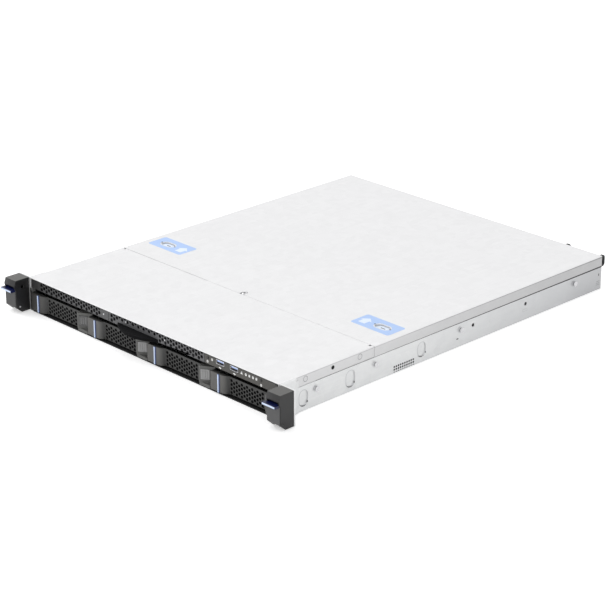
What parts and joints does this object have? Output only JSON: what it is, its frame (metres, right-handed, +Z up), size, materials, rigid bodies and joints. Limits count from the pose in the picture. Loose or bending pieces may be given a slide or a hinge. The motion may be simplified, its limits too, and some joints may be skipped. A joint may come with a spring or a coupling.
{
  "type": "1u rack server",
  "caption": "Flat rack server with swing-lever drive carriers, vented front strip, I/O panel, ear handles, two-piece steel cover, fans, boards and slide-in power supplies.",
  "frame": {"origin": "on the underside, below the middle of the overall box", "axes": "+X to the right seen from the front, +Y from the front to the back, +Z up"},
  "size_m": [0.4826, 0.6024, 0.0435],
  "materials": {
    "zinc_steel": "galvanised, matt",
    "cover_steel": "galvanised, fine grain",
    "stud_steel": "plated",
    "black_screw": "black zinc",
    "grille_black": "satin powder coat",
    "panel_grey": "satin powder coat",
    "board_green": "solder mask",
    "port_steel": "tinned",
    "tongue_blue": "moulded",
    "button_dark": "moulded",
    "light_clear": "clear light pipe",
    "tag_black": "moulded",
    "cage_black": "black",
    "sink_aluminium": "extruded",
    "memory_black": "solder mask",
    "fan_black": "moulded",
    "ear_grey": "fine grained",
    "latch_grey": "fine grained",
    "touch_blue": "satin",
    "carrier_grey": "fine grained",
    "lever_grey": "fine grained",
    "button_grey": "satin",
    "drive_aluminium": "cast and stamped",
    "supply_steel": "sheet case"
  },
  "bodies": {
    "chassis": {"chassis_base": "zinc_steel", "rear_wall": "zinc_steel", "rail_studs": "stud_steel", "front_cover": "cover_steel", "cover_screws": "black_screw", "latch_pins": "black_screw", "grille_left": "grille_black", "grille_middle": "grille_black", "io_panel": "panel_grey", "io_board": "board_green", "usb_sockets": "port_steel", "usb_tongues": "tongue_blue", "front_lights": "light_clear", "drive_cage": "cage_black", "backplane": "board_green", "mainboard": "board_green", "heatsinks": "sink_aluminium", "memory_modules": "memory_black", "rear_ports": "port_steel", "fan_housings": "fan_black", "ear_bracket_left": "zinc_steel", "ear_handle_left": "ear_grey", "ear_bracket_right": "zinc_steel", "ear_handle_right": "ear_grey"},
    "rear_cover": {"rear_cover": "cover_steel"},
    "pull_tag": {"pull_tag": "tag_black"},
    "power_button": {"power_button": "button_dark"},
    "id_button": {"id_button": "button_dark"},
    "ear_latch_left": {"ear_latch_left": "latch_grey", "ear_grip_left": "touch_blue"},
    "power_supply_left": {"power_supply_left": "supply_steel"},
    "supply_latch_left": {"supply_latch_left": "tag_black"},
    "ear_latch_right": {"ear_latch_right": "latch_grey", "ear_grip_right": "touch_blue"},
    "power_supply_right": {"power_supply_right": "supply_steel"},
    "supply_latch_right": {"supply_latch_right": "tag_black"},
    "carrier_1": {"carrier_1": "carrier_grey", "drive_1": "drive_aluminium"},
    "lever_1": {"carrier_lever_1": "lever_grey", "lever_grip_1": "touch_blue"},
    "release_1": {"release_button_1": "button_grey"},
    "fan_rotor_1": {"fan_rotor_1": "fan_black"},
    "carrier_2": {"carrier_2": "carrier_grey", "drive_2": "drive_aluminium"},
    "lever_2": {"carrier_lever_2": "lever_grey", "lever_grip_2": "touch_blue"},
    "release_2": {"release_button_2": "button_grey"},
    "fan_rotor_2": {"fan_rotor_2": "fan_black"},
    "carrier_3": {"carrier_3": "carrier_grey", "drive_3": "drive_aluminium"},
    "lever_3": {"carrier_lever_3": "lever_grey", "lever_grip_3": "touch_blue"},
    "release_3": {"release_button_3": "button_grey"},
    "fan_rotor_3": {"fan_rotor_3": "fan_black"},
    "carrier_4": {"carrier_4": "carrier_grey", "drive_4": "drive_aluminium"},
    "lever_4": {"carrier_lever_4": "lever_grey", "lever_grip_4": "touch_blue"},
    "release_4": {"release_button_4": "button_grey"},
    "fan_rotor_4": {"fan_rotor_4": "fan_black"}
  },
  "joints": [
    {"name": "rear_cover_slide", "type": "slide", "parent": "chassis", "child": "rear_cover", "axis": [0, 1, 0], "range_m": [0, 0.012]},
    {"name": "pull_tag_slide", "type": "slide", "parent": "chassis", "child": "pull_tag", "axis": [0, -1, 0], "range_m": [0, 0.06]},
    {"name": "power_button_press", "type": "slide", "parent": "chassis", "child": "power_button", "axis": [0, 1, 0], "range_m": [0, 0.0008], "stiffness_N_per_m": 300, "springref_m": -0.0005},
    {"name": "id_button_press", "type": "slide", "parent": "chassis", "child": "id_button", "axis": [0, 1, 0], "range_m": [0, 0.0008], "stiffness_N_per_m": 300, "springref_m": -0.0005},
    {"name": "ear_latch_left_swing", "type": "hinge", "parent": "chassis", "child": "ear_latch_left", "pos_m": [-0.2303, -0.2877, 0.0082], "axis": [1, 0, 0], "range_deg": [0, 40], "stiffness_Nm_per_rad": 0.05, "springref_deg": -11.46},
    {"name": "power_supply_left_slide", "type": "slide", "parent": "chassis", "child": "power_supply_left", "axis": [0, 1, 0], "range_m": [0, 0.2]},
    {"name": "supply_latch_left_press", "type": "slide", "parent": "power_supply_left", "child": "supply_latch_left", "axis": [1, 0, 0], "range_m": [0, 0.0025], "stiffness_N_per_m": 300, "springref_m": -0.0005},
    {"name": "ear_latch_right_swing", "type": "hinge", "parent": "chassis", "child": "ear_latch_right", "pos_m": [0.2303, -0.2877, 0.0082], "axis": [1, 0, 0], "range_deg": [0, 40], "stiffness_Nm_per_rad": 0.05, "springref_deg": -11.46},
    {"name": "power_supply_right_slide", "type": "slide", "parent": "chassis", "child": "power_supply_right", "axis": [0, 1, 0], "range_m": [0, 0.2]},
    {"name": "supply_latch_right_press", "type": "slide", "parent": "power_supply_right", "child": "supply_latch_right", "axis": [1, 0, 0], "range_m": [0, 0.0025], "stiffness_N_per_m": 300, "springref_m": -0.0005},
    {"name": "carrier_1_slide", "type": "slide", "parent": "chassis", "child": "carrier_1", "axis": [0, -1, 0], "range_m": [0, 0.15]},
    {"name": "lever_1_swing", "type": "hinge", "parent": "carrier_1", "child": "lever_1", "pos_m": [-0.1301, -0.2651, 0.013], "axis": [0, 0, 1], "range_deg": [0, 60]},
    {"name": "release_1_press", "type": "slide", "parent": "carrier_1", "child": "release_1", "axis": [-0.5432, 0.8396, 0], "range_m": [0, 0.0015], "stiffness_N_per_m": 300, "springref_m": -0.0005},
    {"name": "fan_1_spin", "type": "hinge", "parent": "chassis", "child": "fan_rotor_1", "pos_m": [-0.117, -0.0667, 0.021], "axis": [0, 1, 0], "continuous": true},
    {"name": "carrier_2_slide", "type": "slide", "parent": "chassis", "child": "carrier_2", "axis": [0, -1, 0], "range_m": [0, 0.15]},
    {"name": "lever_2_swing", "type": "hinge", "parent": "carrier_2", "child": "lever_2", "pos_m": [-0.0219, -0.2651, 0.013], "axis": [0, 0, 1], "range_deg": [0, 60]},
    {"name": "release_2_press", "type": "slide", "parent": "carrier_2", "child": "release_2", "axis": [-0.5432, 0.8396, 0], "range_m": [0, 0.0015], "stiffness_N_per_m": 300, "springref_m": -0.0005},
    {"name": "fan_2_spin", "type": "hinge", "parent": "chassis", "child": "fan_rotor_2", "pos_m": [-0.039, -0.0667, 0.021], "axis": [0, 1, 0], "continuous": true},
    {"name": "carrier_3_slide", "type": "slide", "parent": "chassis", "child": "carrier_3", "axis": [0, -1, 0], "range_m": [0, 0.15]},
    {"name": "lever_3_swing", "type": "hinge", "parent": "carrier_3", "child": "lever_3", "pos_m": [0.0863, -0.2651, 0.013], "axis": [0, 0, 1], "range_deg": [0, 60]},
    {"name": "release_3_press", "type": "slide", "parent": "carrier_3", "child": "release_3", "axis": [-0.5432, 0.8396, 0], "range_m": [0, 0.0015], "stiffness_N_per_m": 300, "springref_m": -0.0005},
    {"name": "fan_3_spin", "type": "hinge", "parent": "chassis", "child": "fan_rotor_3", "pos_m": [0.039, -0.0667, 0.021], "axis": [0, 1, 0], "continuous": true},
    {"name": "carrier_4_slide", "type": "slide", "parent": "chassis", "child": "carrier_4", "axis": [0, -1, 0], "range_m": [0, 0.15]},
    {"name": "lever_4_swing", "type": "hinge", "parent": "carrier_4", "child": "lever_4", "pos_m": [0.1945, -0.2651, 0.013], "axis": [0, 0, 1], "range_deg": [0, 60]},
    {"name": "release_4_press", "type": "slide", "parent": "carrier_4", "child": "release_4", "axis": [-0.5432, 0.8396, 0], "range_m": [0, 0.0015], "stiffness_N_per_m": 300, "springref_m": -0.0005},
    {"name": "fan_4_spin", "type": "hinge", "parent": "chassis", "child": "fan_rotor_4", "pos_m": [0.117, -0.0667, 0.021], "axis": [0, 1, 0], "continuous": true}
  ]
}
